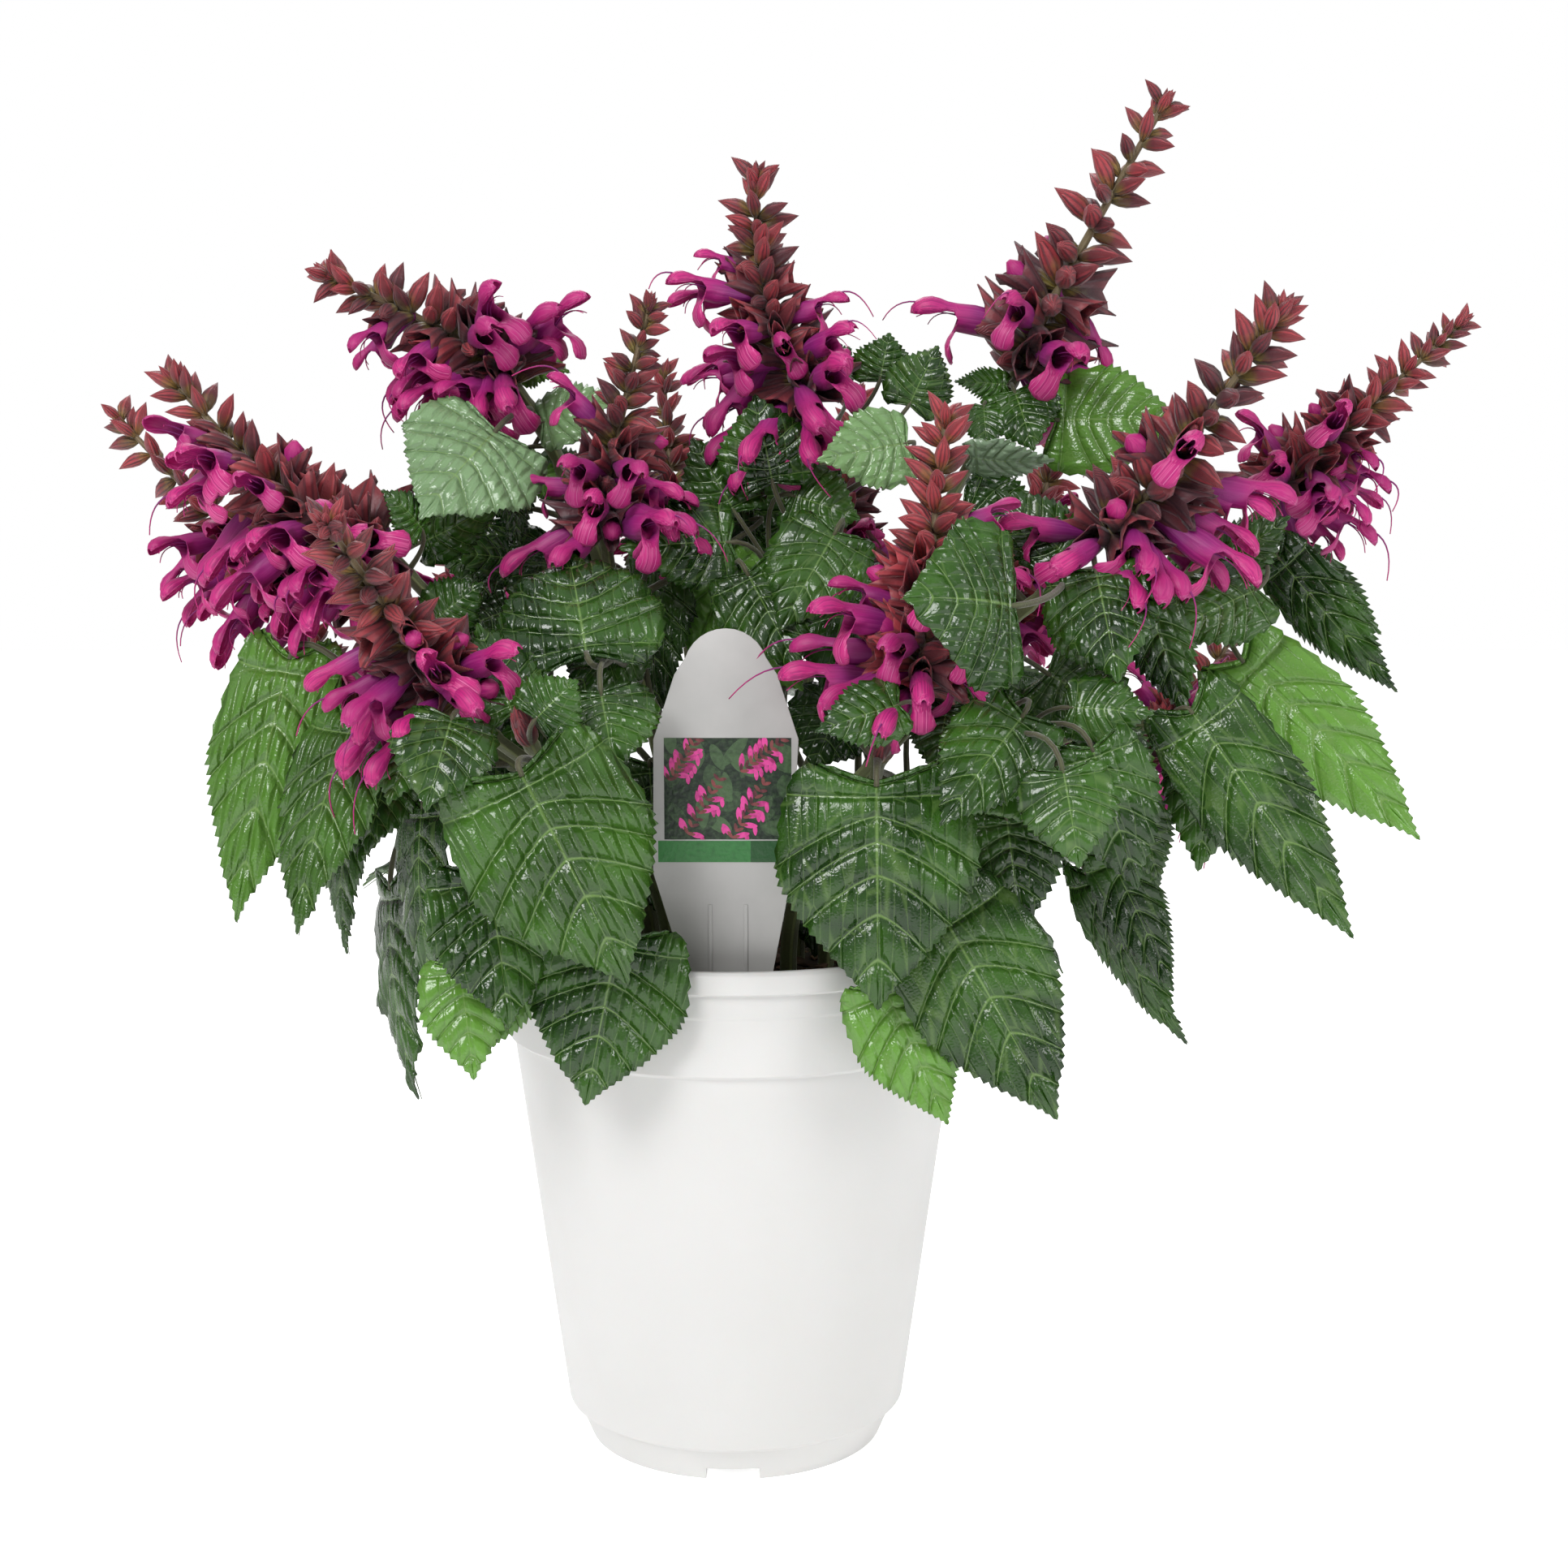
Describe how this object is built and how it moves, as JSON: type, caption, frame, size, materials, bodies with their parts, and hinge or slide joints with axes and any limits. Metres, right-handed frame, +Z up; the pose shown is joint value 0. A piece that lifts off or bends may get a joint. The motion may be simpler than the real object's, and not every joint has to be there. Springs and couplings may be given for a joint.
{
  "type": "potted salvia",
  "caption": "Bushy salvia with toothed heart-shaped leaves and spikes of magenta two-lipped flowers, in a round tapered nursery pot with a plant tag.",
  "frame": {"origin": "middle of the pot's underside, on the surface it stands on", "axes": "+Z up along the pot's axis, -Y towards the front that the picture shows, +X to its right"},
  "size_m": [0.3373, 0.1976, 0.3327],
  "materials": {
    "pot": "satin warm white moulded plastic",
    "soil": "dark crumbly bark and peat mix",
    "tag": "thin white plastic with a printed picture of flowers",
    "foliage": "quilted dark green leaves with a bluish sheen and pale veins",
    "bloom": "ribbed maroon calyxes with brick tips and magenta petals"
  },
  "bodies": {
    "root": {"pot": "pot", "soil": "soil", "plant_tag": "tag", "stem_far_left": "foliage", "stem_outer_left": "foliage", "stem_front_left": "foliage", "stem_left": "foliage", "stem_middle_left": "foliage", "stem_middle": "foliage", "stem_tall": "foliage", "stem_front": "foliage", "stem_right": "foliage", "stem_far_right": "foliage", "stem_young_left": "foliage", "stem_young_front": "foliage", "stem_low_right": "foliage", "stem_low_left": "foliage", "stem_back_1": "foliage", "stem_back_2": "foliage", "stem_back_3": "foliage", "stem_back_4": "foliage", "stem_back_5": "foliage", "stem_back_6": "foliage", "spike_far_left": "bloom", "spike_outer_left": "bloom", "spike_front_left": "bloom", "spike_left": "bloom", "spike_middle_left": "bloom", "spike_middle": "bloom", "spike_tall": "bloom", "spike_front": "bloom", "spike_right": "bloom", "spike_far_right": "bloom", "spike_back_1": "bloom", "spike_back_2": "bloom", "spike_back_3": "bloom", "spike_back_4": "bloom", "spike_back_5": "bloom", "spike_back_6": "bloom"}
  },
  "joints": []
}
